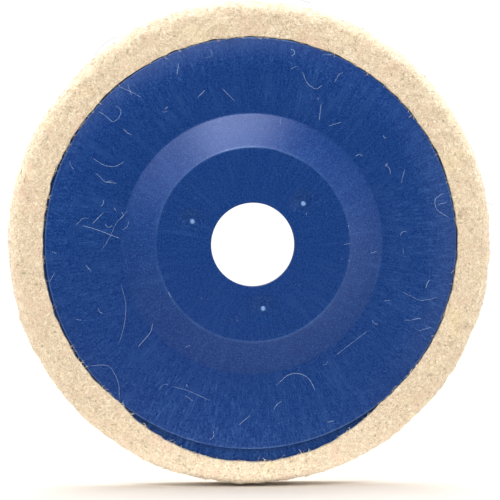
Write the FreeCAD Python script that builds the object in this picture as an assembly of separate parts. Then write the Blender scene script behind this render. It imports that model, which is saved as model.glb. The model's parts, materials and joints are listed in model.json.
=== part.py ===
"""Wool felt polishing pad for an angle grinder: a moulded plastic backing plate with a raised
hub and a 22.23 mm arbor bore, a thin ring of adhesive, and a thick wool felt disc.

The pad stands on its rim with its spin axis along +Y. The origin is the centre of the bore in
the hub's back face, the face that the grinder's flange clamps. -Y looks at the grinder side,
+Y at the felt's working face. All sizes are in millimetres.
"""

import FreeCAD
import Part

import math
import os

from FreeCAD import Vector

# ---- driving dimensions ----
BORE_R = 11.115  # 7/8 inch arbor
FELT_R = 65.0  # 5 inch class pad, felt outside radius
FELT_THICKNESS = 12.35
HUB_FLAT_R = 25.8
CONE_FOOT_R = 34.9
HUB_HEIGHT = 5.0  # clamp face to flange back face
HUB_THICKNESS = 3.0
FLANGE_THICKNESS = 3.0
FACE_R = 55.2  # edge of the flange's visible back face
LIP_R = 59.4  # locking lip under the felt's collar
GLUE_THICKNESS = 0.25

# ---- backing plate ----
FLANGE_FRONT_Y = HUB_HEIGHT + FLANGE_THICKNESS
ROLL_OFF_START_R = 50.5
ROLL_OFF_RADIUS = 30.0
ROLL_OFF_DROP = 1.3
STEP_HEIGHT = 0.95  # flange face edge down to the lip
LIP_BACK_Y = HUB_HEIGHT + ROLL_OFF_DROP + STEP_HEIGHT
RECESS_FLOOR_R = 23.6
RECESS_MOUTH_R = 32.7
BORE_CHAMFER = 0.4

GATE_COUNT = 3
GATE_CIRCLE_R = 17.2
GATE_FIRST_DEG = 39.0
GATE_WELL_R = 4.4
GATE_WELL_DEPTH = 0.3
GATE_NUB_R = 0.65
GATE_NUB_HEIGHT = 0.24

EJECTOR_R = 2.5
EJECTOR_DEPTH = 0.12
RECESS_EJECTOR_CIRCLE_R = 17.2
LAND_EJECTOR_COUNT = 6
LAND_EJECTOR_CIRCLE_R = 45.0

# ---- adhesive ----
GLUE_INNER_R = RECESS_MOUTH_R + 0.8
GLUE_OUTER_R = LIP_R - 0.7

# ---- felt disc ----
FELT_BACK_Y = 5.9
FELT_FRONT_Y = FELT_BACK_Y + FELT_THICKNESS
FELT_SEAT_Y = FLANGE_FRONT_Y + GLUE_THICKNESS
FELT_HOLE_R = 31.0
COLLAR_R = FACE_R + 0.5
LIP_CLEARANCE = 0.05
OUTER_BACK_ROUND = 3.0
OUTER_FRONT_ROUND = 1.6
HOLE_ROUND = 1.0
# the collar is short at the bottom of the pad and shows a crescent of the lip
NOTCH_DEPTH = 3.1
NOTCH_R = 46.6

AXIS = Vector(0, 1, 0)
ORIGIN = Vector(0, 0, 0)


def on_circle(radius, degrees, y):
    """A point at this radius and angle from +X towards +Z, at height y along the axis."""
    turn = math.radians(degrees)
    return Vector(radius * math.cos(turn), y, radius * math.sin(turn))


def rounded_outline(corners):
    """A closed wire through (r, y, rounding) corners, with a tangent arc at each rounded one."""
    places = [Vector(r, y, 0) for r, y, _ in corners]
    edges = []
    ends = []
    for i, (_, _, rounding) in enumerate(corners):
        here = places[i]
        to_last = (places[i - 1] - here).normalize()
        to_next = (places[(i + 1) % len(places)] - here).normalize()
        if not rounding:
            ends.append((here, here, None))
            continue
        half = to_last.getAngle(to_next) / 2
        reach = rounding / math.tan(half)
        middle = (to_last + to_next).normalize()
        deepest = here + middle * (rounding / math.sin(half) - rounding)
        ends.append((here + to_last * reach, here + to_next * reach, deepest))
    for i, (start, end, deepest) in enumerate(ends):
        if deepest:
            edges.append(Part.Arc(start, deepest, end).toShape())
        following = ends[(i + 1) % len(ends)][0]
        edges.append(Part.LineSegment(end, following).toShape())
    return Part.Wire(edges)


def turned(corners):
    """The solid that a rounded outline sweeps round the spin axis."""
    return Part.Face(rounded_outline(corners)).revolve(ORIGIN, AXIS, 360)


def disc(radius, y, height, centre=ORIGIN):
    """A short cylinder along +Y from y, about a centre in the XZ plane."""
    return Part.makeCylinder(radius, height, Vector(centre.x, y, centre.z), AXIS)


def plate_blank():
    """The moulding's section: bore, hub, cone, flange with rolled-off edge, step and lip."""
    return turned(
        [
            (BORE_R, 0, 0),
            (HUB_FLAT_R, 0, 0.7),
            (CONE_FOOT_R, HUB_HEIGHT, 1.2),
            (ROLL_OFF_START_R, HUB_HEIGHT, ROLL_OFF_RADIUS),
            (FACE_R, HUB_HEIGHT + ROLL_OFF_DROP, 0.3),
            (FACE_R, LIP_BACK_Y, 0.15),
            (LIP_R, LIP_BACK_Y, 0.3),
            (LIP_R, FLANGE_FRONT_Y, 0.2),
            (RECESS_MOUTH_R, FLANGE_FRONT_Y, 0.6),
            (RECESS_FLOOR_R, HUB_THICKNESS, 1.0),
            (BORE_R + BORE_CHAMFER, HUB_THICKNESS, 0),
            (BORE_R, HUB_THICKNESS - BORE_CHAMFER, 0),
        ]
    )


def gate_wells():
    """Shallow dished wells round the three injection points, with the cut-off nubs left in."""
    wells = []
    nubs = []
    dish_r = (GATE_WELL_R**2 + GATE_WELL_DEPTH**2) / (2 * GATE_WELL_DEPTH)
    for i in range(GATE_COUNT):
        degrees = GATE_FIRST_DEG + i * 360 / GATE_COUNT
        at = on_circle(GATE_CIRCLE_R, degrees, GATE_WELL_DEPTH - dish_r)
        wells.append(Part.makeSphere(dish_r, at))
        foot = on_circle(GATE_CIRCLE_R, degrees, GATE_WELL_DEPTH + 0.05)
        nub = Part.makeCylinder(GATE_NUB_R, GATE_NUB_HEIGHT + 0.05, foot, -AXIS)
        top = [e for e in nub.Edges if abs(e.CenterOfMass.y - foot.y) > GATE_NUB_HEIGHT]
        nubs.append(nub.makeFillet(0.12, top[:1]))
    return Part.makeCompound(wells), Part.makeCompound(nubs)


def ejector_marks():
    """Round witness marks that the ejector pins leave on the core side."""
    marks = []
    for i in range(GATE_COUNT):
        degrees = GATE_FIRST_DEG + (i + 0.5) * 360 / GATE_COUNT
        at = on_circle(RECESS_EJECTOR_CIRCLE_R, degrees, 0)
        marks.append(disc(EJECTOR_R, HUB_THICKNESS - EJECTOR_DEPTH, 1, at))
    for i in range(LAND_EJECTOR_COUNT):
        at = on_circle(LAND_EJECTOR_CIRCLE_R, i * 360 / LAND_EJECTOR_COUNT, 0)
        marks.append(disc(EJECTOR_R, FLANGE_FRONT_Y - EJECTOR_DEPTH, 1, at))
    return Part.makeCompound(marks)


def backing_plate():
    wells, nubs = gate_wells()
    return plate_blank().cut(wells).fuse(nubs).cut(ejector_marks()).removeSplitter()


def adhesive_layer():
    """The thin ring of set adhesive between the flange and the felt's seat."""
    return turned(
        [
            (GLUE_INNER_R, FLANGE_FRONT_Y, 0),
            (GLUE_OUTER_R, FLANGE_FRONT_Y, 0),
            (GLUE_OUTER_R, FELT_SEAT_Y, 0),
            (GLUE_INNER_R, FELT_SEAT_Y, 0),
        ]
    )


def felt_disc():
    """A felt ring seated on the adhesive, with a collar that wraps the plate's lip."""
    groove_r = LIP_R + LIP_CLEARANCE
    collar_underside_y = LIP_BACK_Y - LIP_CLEARANCE
    ring = turned(
        [
            (FELT_HOLE_R, FELT_SEAT_Y, 0.3),
            (groove_r, FELT_SEAT_Y, 0),
            (groove_r, collar_underside_y, 0),
            (COLLAR_R, collar_underside_y, 0),
            (COLLAR_R, FELT_BACK_Y, 0.3),
            (FELT_R, FELT_BACK_Y, OUTER_BACK_ROUND),
            (FELT_R, FELT_FRONT_Y, OUTER_FRONT_ROUND),
            (FELT_HOLE_R, FELT_FRONT_Y, HOLE_ROUND),
        ]
    )
    notch_centre = Vector(0, 0, NOTCH_R - COLLAR_R - NOTCH_DEPTH)
    notch = disc(NOTCH_R, FELT_BACK_Y - 1, LIP_BACK_Y - FELT_BACK_Y + 1, notch_centre)
    return ring.cut(notch)


PARTS = {
    "backing_plate": backing_plate,
    "adhesive_layer": adhesive_layer,
    "felt_disc": felt_disc,
}


def main():
    os.makedirs("parts", exist_ok=True)
    for name, build in PARTS.items():
        shape = build()
        solids = shape.Solids
        box = shape.BoundBox
        size = f"{box.XLength:.2f} x {box.YLength:.2f} x {box.ZLength:.2f}"
        print(name, len(solids), "solid", shape.isValid(), size, f"{shape.Volume:.0f} mm3")
        Part.makeCompound(solids).exportStep(f"parts/{name}.step")


main()
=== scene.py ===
"""Looks for the wool felt polishing pad: the moulded blue backing plate, the felt disc with its
fibres, the adhesive between them, and the wool hairs that the felt has shed on the plate.

Lengths are in millimetres until a mesh is made. x is to the right and z is up, as seen from the
grinder side, and y runs from that side to the felt's working face.
"""

import itertools
import json
import math

import bmesh
import bpy
import numpy as np
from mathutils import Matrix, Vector


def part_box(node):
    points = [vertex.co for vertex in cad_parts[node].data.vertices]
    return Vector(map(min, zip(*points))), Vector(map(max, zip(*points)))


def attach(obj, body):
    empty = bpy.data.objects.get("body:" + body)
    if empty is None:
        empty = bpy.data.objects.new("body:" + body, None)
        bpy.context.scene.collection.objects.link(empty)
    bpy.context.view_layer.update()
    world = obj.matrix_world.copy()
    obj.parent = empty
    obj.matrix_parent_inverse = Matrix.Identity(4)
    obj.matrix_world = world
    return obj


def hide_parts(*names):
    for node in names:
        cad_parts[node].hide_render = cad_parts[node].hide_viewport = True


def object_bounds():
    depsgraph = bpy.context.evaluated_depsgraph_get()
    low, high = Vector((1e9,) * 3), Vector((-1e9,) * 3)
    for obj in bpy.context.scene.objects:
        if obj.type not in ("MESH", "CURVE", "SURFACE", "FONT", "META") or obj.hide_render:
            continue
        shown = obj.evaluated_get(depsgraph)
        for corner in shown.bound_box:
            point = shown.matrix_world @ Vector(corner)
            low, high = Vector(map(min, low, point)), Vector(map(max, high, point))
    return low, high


MM = 0.001

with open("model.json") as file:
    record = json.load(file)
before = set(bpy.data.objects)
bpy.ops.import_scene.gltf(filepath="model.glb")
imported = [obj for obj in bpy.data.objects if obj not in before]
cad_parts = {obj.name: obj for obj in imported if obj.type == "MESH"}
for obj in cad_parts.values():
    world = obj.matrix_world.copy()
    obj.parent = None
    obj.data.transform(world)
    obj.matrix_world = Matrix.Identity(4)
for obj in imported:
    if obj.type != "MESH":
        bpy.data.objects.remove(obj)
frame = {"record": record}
CAD_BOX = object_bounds()


def box_mm(node):
    low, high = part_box(node)
    return np.array(low) / MM, np.array(high) / MM


PLATE_LOW, PLATE_HIGH = box_mm("backing_plate")
FELT_LOW, FELT_HIGH = box_mm("felt_disc")
GLUE_LOW, GLUE_HIGH = box_mm("adhesive_layer")
BORE_R = next(m["dims"]["r_mm"] for m in frame["record"]["mounts"] if m["name"] == "arbor_bore")

# ---- the plate's section, as the CAD has it ----
LIP_R = PLATE_HIGH[0]
LAND_Y = PLATE_HIGH[1]
HUB_R = 25.8
FOOT_R = 34.9
FLANGE_Y = 5.0
ROLL_R = 50.5
ROLL_ROUND = 30.0
FACE_R = 55.2
FACE_Y = 6.3
LIP_Y = 7.25
HUB_FLOOR_Y = 3.0
RECESS_R = 23.6
MOUTH_R = 32.7
BORE_CHAMFER = 0.4
GLUE_R = MOUTH_R + 0.8
GLUE_STEPS = 360
GLUE_RAGGED = 0.3
GLUE_SQUEEZE = 0.4

CONE_HOLLOW = 0.12

GATE_R = 17.2
GATE_DEGREES = (39, 159, 279)
GATE_WELL_R = 4.4
GATE_WELL_DEPTH = 0.3
NUB_R = 0.75
NUB_HEIGHT = 0.26
EJECTOR_R = 2.5
EJECTOR_DEPTH = 0.12
# strengths of the pale lines on the hub's and the face's edges: painted highlight, with some wear
HUB_EDGE_WEAR_AND_HIGHLIGHT = 0.22
FACE_EDGE_WEAR_AND_HIGHLIGHT = 0.30
FACE_WAVINESS = 0.05
LIP_FLASH = 0.22
PLATE_STEPS = 480

# ---- the felt's section ----
FELT_R = FELT_HIGH[0]
HOLE_R = 31.0
SEAT_Y = GLUE_HIGH[1]
FELT_BACK_Y = FELT_LOW[1]
FELT_FRONT_Y = FELT_HIGH[1]
COLLAR_R = 55.35
OUTER_BACK_ROUND = 3.4
OUTER_FRONT_ROUND = 1.6
OUTER_SLOPE = 0.9
SLOPE_START_R = 57
EDGE_WAVES = 0.15
WAVES_START_R = 58
SLACK_END_R = 62
# the felt's surface is uneven at these cell sizes, by these heights
FELT_LUMPS = ((3.4, 0.20, 21), (1.5, 0.16, 22), (0.75, 0.09, 23))
FELT_STEPS = 640
# the notch at the bottom is an arc of this radius, its centre this far below the pad's
NOTCH_R = 46.6
NOTCH_DROP = 12.2
# how far the collar stands off the plate at the left and the right
LOOSE_LEFT = 0.45
LOOSE_RIGHT = 0.22

# ---- the felt's loose fibres, and the hairs on the plate ----
FIBRES = 36000
FIBRE_LENGTH = (1.0, 4.4)
FIBRE_LIFT = (0.05, 0.24)
FIBRE_CURL = 2.6
FIBRE_FREE = 0.14
FIBRE_R = (0.026, 0.060)
FIBRE_STATIONS = 7
FIBRE_ROUGHNESS = 0.75
SHORT_HAIRS = 70
SHORT_HAIR_RING = (15, 54)
SHORT_HAIR_BEND = 1.6
SHORT_HAIR_LENGTH = (0.8, 3.6)
HAIR_R = (0.018, 0.036)
HAIR_GAP = 0.03
HAIR_LIFT = 0.25
HAIR_STATIONS = 16
HAIR_SIDES = 4
STRAY_R = 0.04
STRAY_Y = 8.0

# ---- the camera ----
VIEW_AZIMUTH = -3.5
VIEW_ELEVATION = 2.5
VIEW_DISTANCE = 606.0
VIEW_WIDTH = 133.8
AIM = (-0.45, 6.0, -1.65)
SENSOR_WIDTH = 36.0

# ---- the room's light, by direction: right, away from the camera, up ----
ROOM_LIGHTS = [
    # the way to it, the cosines where it starts and is full, its strength. A negative strength
    # takes light away, so that the broad light behind the pad is grey in its middle.
    ((0.10, 1.0, 0.0), -0.38, 0.12, 3.6),
    ((0.0, 1.0, 0.0), 0.15, 0.80, -3.5),
    ((0.0, -0.30, -0.95), 0.5, 1.0, 0.20),
    ((-0.12, -0.74, 0.66), 0.86, 0.99, 1.3),
    ((0.62, -0.78, 0.0), 0.88, 0.99, 0.9),
    ((-0.55, -0.55, 0.63), 0.84, 0.99, 1.8),
    ((1.0, 0.08, -0.05), 0.86, 1.0, 0.7),
    ((-1.0, 0.08, -0.05), 0.86, 1.0, 1.5),
]
KEY_POWER = 9.0
GLOW_POWER = 0.019
NEAR_GLOW_POWER = 0.008
TOP_POWER = 12.0
KEY_PLACE = (-0.06, -0.80, 1.12)
KEY_SIZE = (0.8, 0.24)
TOP_PLACE = (0, 0.35, 1.1)
TOP_SIZE = (0.8, 1.2)
# two cards of each size lie on the floor, before and behind the pad's rim
GLOW_CARDS = (
    (0.34, 0.34, GLOW_POWER),
    (0.11, 0.016, NEAR_GLOW_POWER),
)
RIM_MIDDLE_Y = 0.012
RIM_HALF = 0.0055
FLOOR_HALF = 0.6
FLOOR_GAP = 0.0006
DOME_R = 6.0
DOME_STRENGTH = 1.05

# ---- colours ----
BLUE = (0.0010, 0.0288, 0.167)
BLUE_DEEP = (0.0004, 0.0219, 0.133)
BLUE_PURPLE = (0.0077, 0.0274, 0.168)
# darker blue of the gate wells, also used as painted shade on the lip
BLUE_GATE_TINT_AND_LIP_SHADE = (0.001, 0.024, 0.135)
BLUE_SCUFF = (0.050, 0.150, 0.41)
# pale blue of the rubbed nubs, also the painted highlight along the edges
BLUE_WORN_AND_HIGHLIGHT = (0.17, 0.31, 0.58)

# darker tan, painted in as the shade in the gaps between fibres
FELT_GAP_SHADE = (0.46, 0.34, 0.22)
FELT_MID = (0.74, 0.61, 0.43)
FELT_PALE = (0.88, 0.79, 0.61)
FELT_PINK = (0.70, 0.49, 0.36)
FELT_STRAW = (0.80, 0.66, 0.38)
FELT_SPECK = (0.16, 0.12, 0.085)

GLUE_DARK = (0.42, 0.27, 0.10)
GLUE_LIGHT = (0.66, 0.50, 0.26)
SHED_WOOL = (0.44, 0.58, 0.80)
GREY_WOOL = (0.30, 0.29, 0.30)
FLOOR_COLOUR = (0.57, 0.53, 0.49)


# ---- numbers ----
def value_noise(points, cell, seed, size=41):
    """Smooth seeded noise from -1 to 1 at each point, with this cell size."""
    table = np.random.default_rng(seed).uniform(-1, 1, (size, size, size))
    whole = np.floor(points / cell).astype(int)
    part = points / cell - whole
    part = part * part * (3 - 2 * part)
    total = np.zeros(len(points))
    for corner in itertools.product((0, 1), repeat=3):
        weight = np.prod(np.where(corner, part, 1 - part), axis=1)
        index = (whole + corner) % size
        total += weight * table[tuple(index.T)]
    return total


def ring_noise(angle, waves, seed):
    """Seeded waviness round a full turn, about -1 to 1."""
    rng = np.random.default_rng(seed)
    total = np.zeros_like(angle)
    for n in waves:
        total += rng.uniform(0.4, 1) * np.cos(n * angle + rng.uniform(0, 2 * math.pi))
    return total / math.sqrt(len(waves))


def smooth_step(x, low, high):
    t = np.clip((x - low) / (high - low), 0, 1)
    return t * t * (3 - 2 * t)


def unit(v):
    return v / np.maximum(np.linalg.norm(v, axis=-1, keepdims=True), 1e-12)


# ---- meshes ----
def make_piece(name, points, faces, material):
    """A smooth mesh of faces that all have the same number of sides, riding on the pad."""
    faces = np.asarray(faces, np.int32)
    mesh = bpy.data.meshes.new(name)
    mesh.vertices.add(len(points))
    mesh.vertices.foreach_set("co", (points * MM).astype(np.float32).ravel())
    mesh.loops.add(faces.size)
    mesh.loops.foreach_set("vertex_index", faces.ravel())
    mesh.polygons.add(len(faces))
    starts = np.arange(0, faces.size, faces.shape[1], dtype=np.int32)
    mesh.polygons.foreach_set("loop_start", starts)
    mesh.update(calc_edges=True)
    mesh.validate()
    mesh.shade_smooth()
    mesh.materials.append(material)
    piece = bpy.data.objects.new(name, mesh)
    bpy.context.scene.collection.objects.link(piece)
    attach(piece, "root")
    return piece


def set_attribute(piece, name, values):
    attribute = piece.data.attributes.new(name, "FLOAT", "POINT")
    attribute.data.foreach_set("value", values.astype(np.float32))


def section(corners):
    """Points round a closed section from (r, y, rounding, longest step) corners."""
    places = [np.array(c[:2], float) for c in corners]
    ends = []
    for i, (_, _, rounding, _) in enumerate(corners):
        here = places[i]
        back = unit(places[i - 1] - here)
        on = unit(places[(i + 1) % len(places)] - here)
        if not rounding:
            ends.append([here])
            continue
        half = math.acos(np.clip(back @ on, -1, 1)) / 2
        reach = rounding / math.tan(half)
        centre = here + unit(back + on) * rounding / math.sin(half)
        first = here + back * reach - centre
        last = here + on * reach - centre
        sweep = math.pi - 2 * half
        count = max(4, math.ceil(sweep / math.radians(14)), math.ceil(rounding * sweep / 0.5))
        turns = np.linspace(0, sweep, count + 1)
        arc = [
            centre + (first * math.sin(sweep - t) + last * math.sin(t)) / math.sin(sweep)
            for t in turns
        ]
        ends.append(arc)
    points = []
    for i, arc in enumerate(ends):
        points.extend(arc)
        start = arc[-1]
        end = ends[(i + 1) % len(ends)][0]
        count = math.ceil(np.linalg.norm(end - start) / corners[i][3])
        points.extend(start + (end - start) * k / count for k in range(1, count))
    return np.array(points)


def lathe(points, steps):
    """Turns a closed section round the spin axis: (radius, y, angle) of each vertex, and faces."""
    count = len(points)
    angle = np.repeat(np.arange(steps) * 2 * math.pi / steps, count)
    radius = np.tile(points[:, 0], steps)
    y = np.tile(points[:, 1], steps)
    here = np.arange(steps * count).reshape(steps, count)
    on = np.roll(here, -1, 0)
    faces = np.stack([here, np.roll(here, -1, 1), np.roll(on, -1, 1), on], -1).reshape(-1, 4)
    a, b = points, np.roll(points, -1, 0)
    turn = np.sum(a[:, 0] * b[:, 1] - b[:, 0] * a[:, 1])
    return radius, y, angle, faces if turn < 0 else faces[:, ::-1]


def section_normals(points, steps):
    """Outward (r, y) normals of a closed section, repeated for each step round."""
    along = unit(np.roll(points, -1, 0) - np.roll(points, 1, 0))
    a, b = points, np.roll(points, -1, 0)
    side = 1 if np.sum(a[:, 0] * b[:, 1] - b[:, 0] * a[:, 1]) > 0 else -1
    out = np.stack([along[:, 1], -along[:, 0]], -1) * side
    return np.tile(out, (steps, 1))


def in_space(radius, y, angle):
    return np.stack([radius * np.cos(angle), y, radius * np.sin(angle)], -1)


# ---- materials ----
class Nodes:
    """A small helper that adds shader nodes and links them."""

    def __init__(self, name):
        self.material = bpy.data.materials.new(name)
        self.material.use_nodes = True
        self.tree = self.material.node_tree
        self.shader = self.tree.nodes["Principled BSDF"]

    def add(self, kind, inputs=(), **settings):
        node = self.tree.nodes.new(kind)
        for key, value in settings.items():
            setattr(node, key, value)
        for key, value in dict(inputs).items():
            self.put(node.inputs[key], value)
        return node

    def put(self, socket, value):
        if isinstance(value, bpy.types.NodeSocket):
            self.tree.links.new(value, socket)
        else:
            socket.default_value = value

    def math(self, operation, *values):
        node = self.add("ShaderNodeMath", operation=operation)
        for socket, value in zip(node.inputs, values):
            self.put(socket, value)
        return node.outputs[0]

    def noise(self, vector, scale, detail=2.0, roughness=0.5, distortion=0.0):
        values = {
            "Vector": vector,
            "Scale": scale,
            "Detail": detail,
            "Roughness": roughness,
            "Distortion": distortion,
        }
        return self.add("ShaderNodeTexNoise", values).outputs["Fac"]

    def between(self, value, low, high, out_low=0.0, out_high=1.0):
        """value, from low..high to out_low..out_high, held at the ends."""
        values = {
            "Value": value,
            "From Min": low,
            "From Max": high,
            "To Min": out_low,
            "To Max": out_high,
        }
        node = self.add("ShaderNodeMapRange", values, clamp=True)
        return node.outputs["Result"]

    def mix(self, share, a, b):
        """Colours a to b by share. The mix node has sockets of several types with one name."""
        node = self.add("ShaderNodeMix", data_type="RGBA")
        sockets = [s for s in node.inputs if s.type == "RGBA"]
        self.put(node.inputs[0], share)
        for socket, value in zip(sockets, (a, b)):
            self.put(socket, value if isinstance(value, bpy.types.NodeSocket) else (*value, 1))
        return next(s for s in node.outputs if s.type == "RGBA")

    def bump(self, height, strength, distance_mm, normal=None):
        values = {"Height": height, "Strength": strength, "Distance": distance_mm * MM}
        node = self.add("ShaderNodeBump", values)
        if normal:
            self.put(node.inputs["Normal"], normal)
        return node.outputs["Normal"]


def blue_plastic():
    """Moulded nylon: satin, with fine radial scuffs, wool dust and slow changes of tint."""
    n = Nodes("blue_plastic")
    place = n.add("ShaderNodeTexCoord").outputs["Object"]
    parts = n.add("ShaderNodeSeparateXYZ", {"Vector": place})
    x, z = parts.outputs["X"], parts.outputs["Z"]
    radius = n.math("SQRT", n.math("ADD", n.math("MULTIPLY", x, x), n.math("MULTIPLY", z, z)))
    polar = n.add(
        "ShaderNodeCombineXYZ",
        {
            "X": n.math("DIVIDE", x, radius),
            "Y": n.math("MULTIPLY", radius, 3.5),
            "Z": n.math("DIVIDE", z, radius),
        },
    ).outputs["Vector"]

    streaks = n.noise(polar, 110.0, 3.0, 0.65)
    long_streaks = n.noise(polar, 24.0, 2.0, 0.5, 0.4)
    patches = n.noise(place, 34.0, 2.0, 0.5)
    flange = n.between(radius, 0.034, 0.040)
    scuffs = n.math(
        "MULTIPLY",
        n.between(streaks, 0.51, 0.74),
        n.math("MULTIPLY", n.between(patches, 0.35, 0.65, 0.25, 1.0), flange),
    )
    scuffs = n.math("ADD", scuffs, n.math("MULTIPLY", n.between(long_streaks, 0.5, 0.8), 0.25))
    speckle = n.between(n.noise(place, 3000.0, 1.0, 0.6), 0.47, 0.75)
    mottle = n.noise(place, 1700.0, 3.0, 0.65)
    tint = n.noise(place, 17.0, 1.0, 0.4)
    pale = n.add("ShaderNodeAttribute", attribute_name="pale").outputs["Fac"]
    deep = n.add("ShaderNodeAttribute", attribute_name="deep").outputs["Fac"]

    colour = n.mix(n.between(mottle, 0.0, 1.0), BLUE_DEEP, BLUE)
    colour = n.mix(n.between(tint, 0.5, 0.72, 0.0, 0.35), colour, BLUE_PURPLE)
    # darker blue in the gate wells, and painted shade on the lip below the face's edge
    colour = n.mix(n.math("MULTIPLY", deep, 0.65), colour, BLUE_GATE_TINT_AND_LIP_SHADE)
    colour = n.mix(n.math("MULTIPLY", scuffs, 0.45), colour, BLUE_SCUFF)
    colour = n.mix(n.math("MULTIPLY", speckle, 0.50), colour, BLUE_SCUFF)
    # pale broken-off nubs, and a painted highlight with some wear along the edges
    colour = n.mix(pale, colour, BLUE_WORN_AND_HIGHLIGHT)
    n.put(n.shader.inputs["Base Color"], colour)

    rough = n.between(mottle, 0.2, 0.8, 0.22, 0.34)
    cone = n.math(
        "MULTIPLY",
        n.between(radius, 0.0256, 0.0264),
        n.between(radius, 0.0340, 0.0354, 1.0, 0.0),
    )
    rough = n.math("ADD", rough, n.math("MULTIPLY", cone, 0.05))
    rough = n.math("ADD", rough, n.math("MULTIPLY", scuffs, 0.12))
    n.put(n.shader.inputs["Roughness"], rough)
    n.shader.inputs["IOR"].default_value = 1.5
    n.shader.inputs["Specular IOR Level"].default_value = 0.5
    n.shader.inputs["Specular Tint"].default_value = (0.63, 0.70, 1.0, 1)
    grain_strength = n.math("ADD", 0.25, n.math("MULTIPLY", cone, 0.55))
    grain = n.bump(n.noise(place, 2600.0, 2.0, 0.6), grain_strength, 0.04)
    waves = n.bump(n.math("ADD", streaks, n.math("MULTIPLY", mottle, 0.6)), 0.3, 0.03, grain)
    n.put(n.shader.inputs["Normal"], waves)
    return n.material


def felt_body():
    """Pressed wool under the loose fibres: darker tan as painted shade in the gaps, with warm and
    pale patches.
    """
    n = Nodes("wool_felt")
    place = n.add("ShaderNodeTexCoord").outputs["Object"]
    tangle = n.noise(place, 1500.0, 4.0, 0.65, 1.5)
    curls = n.noise(place, 850.0, 3.0, 0.6, 2.5)
    patches = n.noise(place, 120.0, 2.0, 0.5)
    warm = n.noise(place, 160.0, 2.0, 0.5, 0.5)
    specks = n.between(n.noise(place, 1000.0, 1.0, 0.5), 0.63, 0.74)
    # painted shade: the tangle noise darkens the felt to tan where the gaps between fibres would
    # be
    colour = n.mix(n.between(tangle, 0.35, 0.62), FELT_GAP_SHADE, FELT_MID)
    colour = n.mix(n.between(curls, 0.48, 0.68), colour, FELT_PALE)
    colour = n.mix(n.between(warm, 0.52, 0.7, 0.0, 0.45), colour, FELT_PINK)
    colour = n.mix(n.between(patches, 0.55, 0.75, 0.0, 0.4), colour, FELT_STRAW)
    colour = n.mix(n.math("MULTIPLY", specks, 0.5), colour, FELT_SPECK)
    n.put(n.shader.inputs["Base Color"], colour)
    n.shader.inputs["Roughness"].default_value = 0.95
    n.shader.inputs["Sheen Weight"].default_value = 0.35
    n.shader.inputs["Sheen Roughness"].default_value = 0.6
    height = n.math("ADD", tangle, n.math("MULTIPLY", curls, 1.2))
    n.put(n.shader.inputs["Normal"], n.bump(height, 0.8, 0.22))
    return n.material


def fibre(name, colour):
    """Wool in one plain shade."""
    n = Nodes(name)
    n.shader.inputs["Base Color"].default_value = (*colour, 1)
    n.shader.inputs["Roughness"].default_value = FIBRE_ROUGHNESS
    n.shader.inputs["Sheen Weight"].default_value = 0.3
    n.shader.inputs["Specular IOR Level"].default_value = 0.35
    return n.material


def set_adhesive():
    n = Nodes("set_adhesive")
    place = n.add("ShaderNodeTexCoord").outputs["Object"]
    cloud = n.noise(place, 260.0, 3.0, 0.6)
    colour = n.mix(n.between(cloud, 0.3, 0.7), GLUE_DARK, GLUE_LIGHT)
    n.put(n.shader.inputs["Base Color"], colour)
    n.put(n.shader.inputs["Roughness"], n.between(cloud, 0.3, 0.7, 0.25, 0.5))
    n.put(n.shader.inputs["Normal"], n.bump(cloud, 0.4, 0.2))
    return n.material


# ---- the backing plate ----
def dent(x, z, centre_r, degrees, reach):
    """Distance of each point from a mark on the hub, as a share of the mark's reach."""
    turn = math.radians(degrees)
    return np.hypot(x - centre_r * math.cos(turn), z - centre_r * math.sin(turn)) / reach


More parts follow.
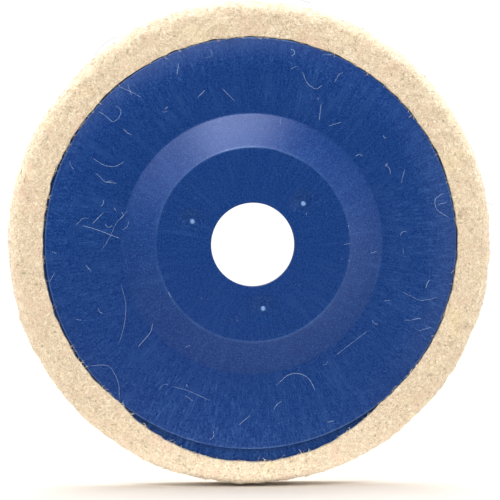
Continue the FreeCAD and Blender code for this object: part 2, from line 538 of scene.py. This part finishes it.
def backing_plate():
    fine, middle, coarse = 0.22, 0.5, 1.0
    # each corner: radius, y, rounding, longest step to the next corner
    points = section(
        [
            (BORE_R, 0, 0.12, fine),
            (HUB_R, 0, 0.7, middle),
            (FOOT_R, FLANGE_Y, 1.2, middle),
            (ROLL_R, FLANGE_Y, ROLL_ROUND, middle),
            (FACE_R, FACE_Y, 0.3, 0.3),
            (FACE_R, LIP_Y, 0.15, middle),
            (LIP_R, LIP_Y, 0.3, middle),
            (LIP_R, LAND_Y, 0.2, coarse),
            (MOUTH_R, LAND_Y, 0.6, middle),
            (RECESS_R, HUB_FLOOR_Y, 1.0, 0.3),
            (BORE_R + BORE_CHAMFER, HUB_FLOOR_Y, 0, 0.3),
            (BORE_R, HUB_FLOOR_Y - BORE_CHAMFER, 0, middle),
        ]
    )
    radius, y, angle, faces = lathe(points, PLATE_STEPS)
    x, z = radius * np.cos(angle), radius * np.sin(angle)
    pale = np.zeros(len(x))
    deep = np.zeros(len(x))
    behind = (y < 0.05) & (radius < HUB_R)
    for degrees in GATE_DEGREES:
        well = dent(x, z, GATE_R, degrees, GATE_WELL_R)
        nub = dent(x, z, GATE_R, degrees, NUB_R)
        y += behind * GATE_WELL_DEPTH * (1 - smooth_step(well, 0.15, 1.0))
        y -= behind * NUB_HEIGHT * (1 - smooth_step(nub, 0.55, 1.0))
        pale = np.maximum(pale, behind * (1 - smooth_step(nub, 0.5, 1.0)))
        deep = np.maximum(deep, behind * (1 - smooth_step(well, 0.55, 1.1)))
        ejector = dent(x, z, GATE_R, degrees + 60, EJECTOR_R)
        floor = (y > HUB_FLOOR_Y - 0.05) & (radius < RECESS_R)
        y -= floor * EJECTOR_DEPTH * (1 - smooth_step(ejector, 0.92, 1.04))
    # edges rubbed pale and given a painted highlight, and painted shade on the lip, where it lies
    # in the felt's shadow
    place = in_space(radius, y, angle)
    patchy = 0.55 + 0.45 * value_noise(place, 5.0, 2)
    # painted highlight with some rubbed wear: thin pale lines along the hub's edge and the face's
    # edge, the hub's strongest at its top and bottom
    hub_edge = 1 - smooth_step(np.abs(radius - HUB_R), 0.1, 0.32)
    hub_edge *= 0.25 + 0.75 * np.abs(np.sin(angle))
    face_edge = 1 - smooth_step(np.abs(radius - FACE_R + 0.1), 0.1, 0.3)
    upper = (y < FACE_Y + 0.25) & (y > -0.05)
    pale = np.maximum(pale, HUB_EDGE_WEAR_AND_HIGHLIGHT * hub_edge * patchy * (y < 0.6))
    pale = np.maximum(pale, FACE_EDGE_WEAR_AND_HIGHLIGHT * face_edge * patchy * upper)
    # painted shade: the lip below the face's edge is darkened as if shadowed by the step and the
    # felt
    deep = np.maximum(deep, (radius > FACE_R - 0.02) & (y < SEAT_Y) & (y > FACE_Y + 0.1))
    # the cone is a little hollow, and the mould's faces are never quite flat
    up_cone = np.clip((radius - HUB_R) / (FOOT_R - HUB_R), 0, 1)
    y = y + 4 * CONE_HOLLOW * up_cone * (1 - up_cone) * (y < FLANGE_Y)
    clear = smooth_step(radius, HUB_R + 0.5, HUB_R + 4) * (1 - smooth_step(y, 7.4, 7.6))
    y = y + FACE_WAVINESS * value_noise(place, 14.0, 3) * clear
    # flash and small nicks along the lip's edge
    lip = smooth_step(radius, LIP_R - 1.5, LIP_R)
    radius = radius - lip * np.abs(LIP_FLASH * value_noise(place, 2.2, 5))
    piece = make_piece(
        "plate_moulding", in_space(radius, y, angle), faces, blue_plastic()
    )
    piece.data.set_sharp_from_angle(angle=math.radians(50))
    set_attribute(piece, "pale", pale)
    set_attribute(piece, "deep", deep)
    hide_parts("backing_plate")
    back = points[(points[:, 0] > BORE_R) & (points[:, 1] < LIP_Y + 0.01)]
    back = back[np.argsort(back[:, 0], kind="stable")]
    return piece, back


# ---- the felt disc ----
def collar_edge(angle):
    """How far the felt's inner edge stands off its usual radius, at each angle round."""
    down = -np.sin(angle)
    side = NOTCH_DROP * np.cos(angle)
    reach = NOTCH_DROP * down + np.sqrt(NOTCH_R**2 - side**2)
    notch = np.maximum(reach - COLLAR_R, 0) * smooth_step(down, 0.1, 0.5)
    loose = LOOSE_LEFT * smooth_step(-np.cos(angle), 0.5, 1.0)
    loose += LOOSE_RIGHT * smooth_step(np.cos(angle), 0.5, 1.0)
    ragged = 0.10 * ring_noise(angle, range(30, 90, 4), 11)
    ragged += 0.16 * ring_noise(angle, range(9, 30, 2), 12)
    ragged *= 0.3 + 0.7 * smooth_step(notch + loose, 0, 0.5)
    return np.maximum(np.maximum(notch, loose) + ragged - 0.1, -0.1)


def felt_disc(material):
    fine, hidden = 0.5, 2.5
    points = section(
        [
            (HOLE_R, SEAT_Y, 0.3, hidden),
            (LIP_R + 0.1, SEAT_Y, 0, hidden),
            (LIP_R + 0.1, LIP_Y - 0.05, 0, fine),
            (COLLAR_R, LIP_Y - 0.05, 0, fine),
            (COLLAR_R, FELT_BACK_Y, 0.3, fine),
            (FELT_R, FELT_BACK_Y, OUTER_BACK_ROUND, fine),
            (FELT_R, FELT_FRONT_Y, OUTER_FRONT_ROUND, fine),
            (HOLE_R, FELT_FRONT_Y, 1.0, fine),
        ]
    )
    radius, y, angle, faces = lathe(points, FELT_STEPS)
    normal = section_normals(points, FELT_STEPS)
    shown = (y < LIP_Y - 0.2) | (radius > LIP_R + 1.2) | (y > SEAT_Y + 0.6)
    behind = y < SEAT_Y - 0.2
    # the collar's edge moves, and the movement dies out towards the rim
    slack = np.clip((SLACK_END_R - radius) / (SLACK_END_R - COLLAR_R), 0, 1) * behind
    fade = 1 - smooth_step(y, FELT_BACK_Y + 1, FELT_BACK_Y + 7)
    y = y + OUTER_SLOPE * smooth_step(radius, SLOPE_START_R, FELT_R + 2) * fade
    radius = radius + collar_edge(angle) * slack
    place = in_space(radius, y, angle)
    rough = sum(height * value_noise(place, cell, seed) for cell, height, seed in FELT_LUMPS)
    waves = EDGE_WAVES * ring_noise(angle, range(3, 22), 24)
    outer = smooth_step(radius, WAVES_START_R, FELT_R)
    out = shown * (rough - 0.1) + outer * np.maximum(normal[:, 0], 0) * waves
    radius = radius + normal[:, 0] * out
    y = y + normal[:, 1] * out
    points_in_space = in_space(radius, y, angle)
    piece = make_piece("felt_pad", points_in_space, faces, material)
    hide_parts("felt_disc")
    return piece, points_in_space, faces, shown


def face_samples(points, faces, weights, count, rng):
    """Random places on a mesh with their normals, by area times each face's weight."""
    corners = points[faces]
    diagonals = np.cross(corners[:, 2] - corners[:, 0], corners[:, 3] - corners[:, 1])
    area = np.linalg.norm(diagonals, axis=1)
    chance = area * weights
    chosen = rng.choice(len(faces), count, p=chance / chance.sum())
    u, v = rng.random((2, count, 1))
    quad = corners[chosen]
    near = quad[:, 0] * (1 - u) + quad[:, 1] * u
    far = quad[:, 3] * (1 - u) + quad[:, 2] * u
    return near * (1 - v) + far * v, unit(diagonals[chosen])


def tubes(paths, radii, up, sides=3):
    """Closed thin tubes along paths (count, stations, 3), pointed at both ends."""
    count, stations, _ = paths.shape
    along = unit(np.gradient(paths, axis=1))
    side = unit(np.cross(up[:, None, :], along))
    over = np.cross(along, side)
    turn = np.arange(sides) * 2 * math.pi / sides
    ring = side[:, :, None] * np.cos(turn)[:, None] + over[:, :, None] * np.sin(turn)[:, None]
    inner = slice(1, stations - 1)
    rings = paths[:, inner, None] + ring[:, inner] * radii[:, inner, None, None]
    rings = rings.reshape(count, -1, 3)
    points = np.concatenate([paths[:, :1], rings, paths[:, -1:]], axis=1)
    faces = []
    last = (stations - 2) * sides + 1
    for k in range(sides):
        on = (k + 1) % sides
        faces.append((0, 1 + on, 1 + k))
        faces.append((last, last - sides + k, last - sides + on))
        for i in range(stations - 3):
            a, b = 1 + i * sides + k, 1 + i * sides + on
            faces.append((a, b, b + sides))
            faces.append((a, b + sides, a + sides))
    faces = np.array(faces)
    offsets = np.arange(count) * points.shape[1]
    return points.reshape(-1, 3), (faces[None] + offsets[:, None, None]).reshape(-1, 3)


def fibre_paths(roots, normals, rng):
    """Curly paths over a surface; free ones leave it at one end, the rest dip in at both."""
    count = len(roots)
    s = np.linspace(-0.5, 0.5, FIBRE_STATIONS)
    size = rng.uniform(*FIBRE_LENGTH, (count, 1))
    bend = rng.normal(0, FIBRE_CURL, (count, 1))
    sway = rng.normal(0, FIBRE_CURL * 0.6, (count, 1))
    phase = rng.uniform(0, 2 * math.pi, (count, 1))
    heading = rng.uniform(0, 2 * math.pi, (count, 1)) + bend * s
    heading = heading + sway * np.sin(2 * math.pi * s + phase)
    step = size / (FIBRE_STATIONS - 1)
    u = np.cumsum(np.cos(heading) * step, axis=1)
    v = np.cumsum(np.sin(heading) * step, axis=1)
    u -= u[:, FIBRE_STATIONS // 2][:, None]
    v -= v[:, FIBRE_STATIONS // 2][:, None]
    across = unit(np.cross(normals, rng.normal(size=(count, 3))))
    beside = np.cross(normals, across)
    high = rng.uniform(*FIBRE_LIFT, (count, 1))
    arch = high * (1 - (2 * s) ** 2 * 1.6)
    leaving = high * ((s + 0.5) ** 1.2 * 4 - 0.4)
    height = np.where(rng.random((count, 1)) < FIBRE_FREE, leaving, arch)
    return (
        roots[:, None]
        + across[:, None] * u[:, :, None]
        + beside[:, None] * v[:, :, None]
        + normals[:, None] * height[:, :, None]
    )


FIBRE_SHADES = {
    "cream": ((0.89, 0.805, 0.605), 0.33),
    "pale": ((0.96, 0.905, 0.735), 0.25),
    "straw": ((0.87, 0.765, 0.49), 0.12),
    "tan": ((0.66, 0.525, 0.35), 0.18),
    "rose": ((0.78, 0.60, 0.46), 0.08),
    "brown": ((0.32, 0.22, 0.14), 0.085),
}


def felt_fibres(points, faces, shown):
    """The tangle of loose wool fibres that covers the felt."""
    rng = np.random.default_rng(7)
    middle = points[faces].mean(1)
    radius = np.hypot(middle[:, 0], middle[:, 2])
    weights = shown[faces].all(1).astype(float)
    working = middle[:, 1] > FELT_FRONT_Y - 1.2
    hole = radius < HOLE_R + 0.5
    collar = (radius < COLLAR_R + 4) & (middle[:, 1] < SEAT_Y) & ~hole
    weights *= np.where(working | hole, 0.45, 1.0)
    weights *= np.where(collar & (middle[:, 1] > FELT_BACK_Y + 0.15), 0.2, 1.0)
    for name, (colour, share) in FIBRE_SHADES.items():
        count = int(FIBRES * share)
        roots, normals = face_samples(points, faces, weights, count, rng)
        paths = fibre_paths(roots, normals, rng)
        thick = rng.uniform(*FIBRE_R, (count, 1)) * np.ones(FIBRE_STATIONS)
        tube_points, tube_faces = tubes(paths, thick, normals)
        make_piece("felt_fibres_" + name, tube_points, tube_faces, fibre(name, colour))


# ---- shed hairs: points in mm as (x, z), seen from the grinder side ----
# The places of these hairs were read off the photograph and listed in mm. Nothing else depends on
# them: with LAID_HAIRS empty and no call of stray_hairs(), the scattered hairs are still there.
LAID_HAIRS = [
    [(-35.5, 42), (-32, 40.5), (-29.5, 39)],
    [(-33, 42.5), (-32, 39.5)],
    [(-41, 35.5), (-38.5, 34), (-37, 32), (-35, 34), (-34.5, 36), (-36.5, 37)],
    [(-42.5, 23), (-39.5, 21), (-36.5, 20.5), (-34, 22)],
    [(-41.5, 19), (-39, 16.5), (-37, 17)],
    [(-8, 41.5), (-4.5, 38)],
    [(-14.5, 39), (-12.5, 41)],
    [(-33, 9), (-36.5, 5.5), (-37.5, 2.5), (-40, -1.5)],
    [(-47, 5), (-45, 7), (-43.5, 7)],
    [(-45, 5), (-41.5, 4), (-35, 1.5)],
    [(-42.5, 5.5), (-39.5, 8.5)],
    [(-20, 45), (-19.5, 48)],
    [(-12.5, 49.5), (-10.5, 50), (-11, 52)],
    [(13.5, 46), (14.5, 43), (17, 41), (19, 42.5)],
    [(22, 43), (23, 45), (24.5, 46)],
    [(18.5, 37.5), (18, 33)],
    [(20.5, 31.5), (24, 32.5)],
    [(40, 16), (41, 20)],
    [(51.5, 13.5), (49, 12), (49.5, 9), (53, 7)],
    [(50, 10.5), (52.5, 11)],
    [(19, 50.5), (22.5, 50.5)],
    [(24, 0), (27, 0.5), (30, 2.5)],
    [(-35, -10.5), (-33.5, -16), (-34, -21.5), (-35.5, -26.5)],
    [(-26.5, -21), (-27, -23.5), (-30.5, -27.5)],
    [(-43.5, -32.5), (-38, -32), (-35.5, -37), (-35.5, -42)],
    [(-21.5, -38), (-17.5, -39), (-11, -42)],
    [(-18, -27.5), (-14.5, -26)],
    [(-54, -10), (-52.5, -7.5)],
    [(-47, -20), (-45.5, -20.2)],
    [(-3.5, -48.5), (-0.5, -46)],
    [(22.5, -30), (27, -26.5), (31, -23.5)],
    [(6.5, -38), (9.5, -35), (12.5, -34.5), (15.5, -36), (17, -39.5)],
    [(40.5, -13), (45.5, -15.5), (50, -14.5)],
    [(25, -4.5), (28, -3.5), (33.5, -2)],
    [(43, -20.5), (45.5, -20)],
    [(45, -23.5), (48.5, -22.5)],
]
STRAY_HAIRS = [
    [(3.5, 65.2), (8, 65.6), (13, 65.3), (16.5, 64.2)],
    [(-42.5, 48.5), (-41.5, 51), (-38.5, 54), (-35.5, 55.5)],
    [(-25, 59.5), (-21.5, 61.2), (-18.5, 62.3)],
    [(63.2, 11), (65.6, 10.2)],
]


def smooth_line(points, stations):
    """A line through listed points, evenly spaced and rounded like a springy hair."""
    points = np.array(points, float)
    gaps = np.linalg.norm(np.diff(points, axis=0), axis=1)
    at = np.concatenate([[0], np.cumsum(gaps)])
    s = np.linspace(0, at[-1], 4 * stations)
    line = np.stack([np.interp(s, at, points[:, k]) for k in (0, 1)], -1)
    for _ in range(3 * stations):
        line[1:-1] = (line[:-2] + line[1:-1] * 2 + line[2:]) / 4
    keep = np.linspace(0, len(line) - 1, stations).round().astype(int)
    return line[keep]


def shed_hairs(back):
    """Wool hairs lying on the plate: the laid ones, and short ones scattered at random."""
    rng = np.random.default_rng(19)
    s = np.linspace(0, 1, HAIR_STATIONS)
    lines = [smooth_line(h, HAIR_STATIONS) for h in LAID_HAIRS]
    for _ in range(SHORT_HAIRS):
        r = rng.uniform(*SHORT_HAIR_RING)
        bearing = rng.uniform(0, 2 * math.pi)
        heading = rng.uniform(0, 2 * math.pi)
        bend = rng.normal(0, SHORT_HAIR_BEND)
        length = rng.uniform(*SHORT_HAIR_LENGTH)
        turn = heading + bend * s
        step = length / HAIR_STATIONS
        start = np.array([r * math.cos(bearing), r * math.sin(bearing)])
        line = start + np.cumsum(np.stack([np.cos(turn), np.sin(turn)], -1) * step, axis=0)
        if np.all(np.hypot(*line.T) > BORE_R + 0.5):
            lines.append(line)
    lines = np.array(lines)
    r = np.hypot(lines[..., 0], lines[..., 1])
    thick = rng.uniform(*HAIR_R, (len(lines), 1)) * np.ones(HAIR_STATIONS)
    lift = HAIR_LIFT * rng.random((len(lines), 1)) * np.sin(np.linspace(0, math.pi, HAIR_STATIONS))
    y = np.interp(r, back[:, 0], back[:, 1]) - thick - HAIR_GAP - lift
    paths = np.stack([lines[..., 0], y, lines[..., 1]], -1)
    up = np.tile([0.0, -1.0, 0.0], (len(paths), 1))
    tube_points, tube_faces = tubes(paths, thick, up, HAIR_SIDES)
    wool = fibre("shed_wool", SHED_WOOL)
    make_piece("shed_hairs", tube_points, tube_faces, wool)


def stray_hairs():
    """Long hairs that stand out past the felt's edge."""
    flat = np.array([smooth_line(line, HAIR_STATIONS) for line in STRAY_HAIRS])
    paths = np.stack([flat[..., 0], np.full(flat.shape[:2], STRAY_Y), flat[..., 1]], -1)
    thick = np.full(paths.shape[:2], STRAY_R)
    up = np.tile([0.0, -1.0, 0.0], (len(paths), 1))
    tube_points, tube_faces = tubes(paths, thick, up, HAIR_SIDES)
    grey = fibre("grey_wool", GREY_WOOL)
    make_piece("stray_hairs", tube_points, tube_faces, grey)


# ---- the adhesive ----
def adhesive():
    """The set film, with a ragged squeezed-out inner edge."""
    gap = 0.01
    points = section(
        [
            (GLUE_R, GLUE_LOW[1] + gap, 0.1, 1.0),
            (GLUE_HIGH[0], GLUE_LOW[1] + gap, 0.1, 0.1),
            (GLUE_HIGH[0], GLUE_HIGH[1] - gap, 0.1, 1.0),
            (GLUE_R, GLUE_HIGH[1] - gap, 0.1, 0.1),
        ]
    )
    radius, y, angle, faces = lathe(points, GLUE_STEPS)
    edge = 1 - smooth_step(radius, MOUTH_R + 0.9, MOUTH_R + 3)
    radius = radius + edge * (GLUE_RAGGED * ring_noise(angle, range(5, 40, 2), 31) - GLUE_SQUEEZE)
    piece = make_piece("glue_film", in_space(radius, y, angle), faces, set_adhesive())
    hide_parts("adhesive_layer")


# ---- camera, light and floor ----
def area_light(name, place, aim, width, depth, power):
    data = bpy.data.lights.new(name, "AREA")
    data.shape = "RECTANGLE"
    data.size = width
    data.size_y = depth
    data.energy = power
    light = bpy.data.objects.new(name, data)
    light.location = place
    light.rotation_euler = (Vector(aim) - Vector(place)).to_track_quat("-Z", "Y").to_euler()
    bpy.context.scene.collection.objects.link(light)
    return light


def plain_board(name, points, colour):
    mesh = bpy.data.meshes.new(name)
    mesh.from_pydata(points, [], [(0, 1, 2, 3)])
    material = bpy.data.materials.new(name)
    material.use_nodes = True
    shader = material.node_tree.nodes["Principled BSDF"]
    shader.inputs["Base Color"].default_value = (*colour, 1)
    shader.inputs["Roughness"].default_value = 0.9
    shader.inputs["Specular IOR Level"].default_value = 0.1
    mesh.materials.append(material)
    board = bpy.data.objects.new(name, mesh)
    bpy.context.scene.collection.objects.link(board)
    return board


def white_backdrop():
    """A white dome round the studio. The camera sees it, and it lights nothing."""
    mesh = bpy.data.meshes.new("backdrop")
    dome = bmesh.new()
    bmesh.ops.create_icosphere(dome, subdivisions=3, radius=DOME_R)
    dome.to_mesh(mesh)
    dome.free()
    material = bpy.data.materials.new("backdrop")
    material.use_nodes = True
    shader = material.node_tree.nodes["Principled BSDF"]
    shader.inputs["Base Color"].default_value = (0, 0, 0, 1)
    shader.inputs["Emission Color"].default_value = (1, 1, 1, 1)
    shader.inputs["Emission Strength"].default_value = DOME_STRENGTH
    mesh.materials.append(material)
    backdrop = bpy.data.objects.new("backdrop", mesh)
    for ray in ("diffuse", "glossy", "transmission", "shadow", "volume_scatter"):
        setattr(backdrop, "visible_" + ray, False)
    bpy.context.scene.collection.objects.link(backdrop)


def room_light(tree, direction, way, low, high, power):
    """Light from one way round the room, fading in between two cosines."""
    toward = tree.nodes.new("ShaderNodeVectorMath")
    toward.operation = "DOT_PRODUCT"
    toward.inputs[1].default_value = way
    tree.links.new(direction, toward.inputs[0])
    strength = tree.nodes.new("ShaderNodeMapRange")
    strength.interpolation_type = "SMOOTHSTEP"
    strength.inputs["From Min"].default_value = low
    strength.inputs["From Max"].default_value = high
    strength.inputs["To Max"].default_value = power
    tree.links.new(toward.outputs["Value"], strength.inputs["Value"])
    return strength.outputs["Result"]


def room():
    """The world's light: the sum of the room's lights."""
    world = bpy.data.worlds.new("studio")
    world.use_nodes = True
    tree = world.node_tree
    direction = tree.nodes.new("ShaderNodeTexCoord").outputs["Generated"]
    strengths = [room_light(tree, direction, *light) for light in ROOM_LIGHTS]
    total = strengths[0]
    for strength in strengths[1:]:
        both = tree.nodes.new("ShaderNodeMath")
        tree.links.new(total, both.inputs[0])
        tree.links.new(strength, both.inputs[1])
        total = both.outputs[0]
    background = tree.nodes["Background"]
    tree.links.new(total, background.inputs["Strength"])
    background.inputs["Color"].default_value = (1, 1, 1, 1)
    bpy.context.scene.world = world


def floor_and_backdrop(floor_z):
    corners = ((-1, -1), (1, -1), (1, 1), (-1, 1))
    floor = plain_board(
        "floor",
        [(x * FLOOR_HALF, y * FLOOR_HALF, floor_z) for x, y in corners],
        FLOOR_COLOUR,
    )
    floor.visible_glossy = False
    white_backdrop()


def lamps(floor_z):
    """Cards on the floor that lift the felt's foot, and the two lamps overhead."""
    for side in (-1, 1):
        for width, depth, power in GLOW_CARDS:
            middle = (0, RIM_MIDDLE_Y + side * (RIM_HALF + depth / 2), floor_z + FLOOR_GAP / 2)
            glow = area_light("floor_glow", middle, (0, middle[1], 1), width, depth, power)
            glow.visible_camera = False
            glow.visible_glossy = False
    area_light("key_above", KEY_PLACE, (0, 0, 0), *KEY_SIZE, KEY_POWER)
    area_light("top", TOP_PLACE, (0, 0, 0), *TOP_SIZE, TOP_POWER)


def view():
    camera_data = bpy.data.cameras.new("camera")
    camera_data.sensor_width = SENSOR_WIDTH
    camera_data.lens = SENSOR_WIDTH * VIEW_DISTANCE / VIEW_WIDTH
    camera_data.clip_start = 0.01
    camera = bpy.data.objects.new("camera", camera_data)
    azimuth, elevation = math.radians(VIEW_AZIMUTH), math.radians(VIEW_ELEVATION)
    away = Vector(
        (
            math.sin(azimuth) * math.cos(elevation),
            -math.cos(azimuth) * math.cos(elevation),
            math.sin(elevation),
        )
    )
    camera.location = (Vector(AIM) + away * VIEW_DISTANCE) * MM
    camera.rotation_euler = (-away).to_track_quat("-Z", "Y").to_euler()
    bpy.context.scene.collection.objects.link(camera)
    bpy.context.scene.camera = camera


def studio():
    bpy.context.scene.view_settings.view_transform = "Standard"
    floor_z = CAD_BOX[0].z - FLOOR_GAP
    room()
    floor_and_backdrop(floor_z)
    lamps(floor_z)
    view()


plate, plate_back = backing_plate()
felt, felt_points, felt_faces, felt_shown = felt_disc(felt_body())
felt_fibres(felt_points, felt_faces, felt_shown)
shed_hairs(plate_back)
stray_hairs()
adhesive()
studio()
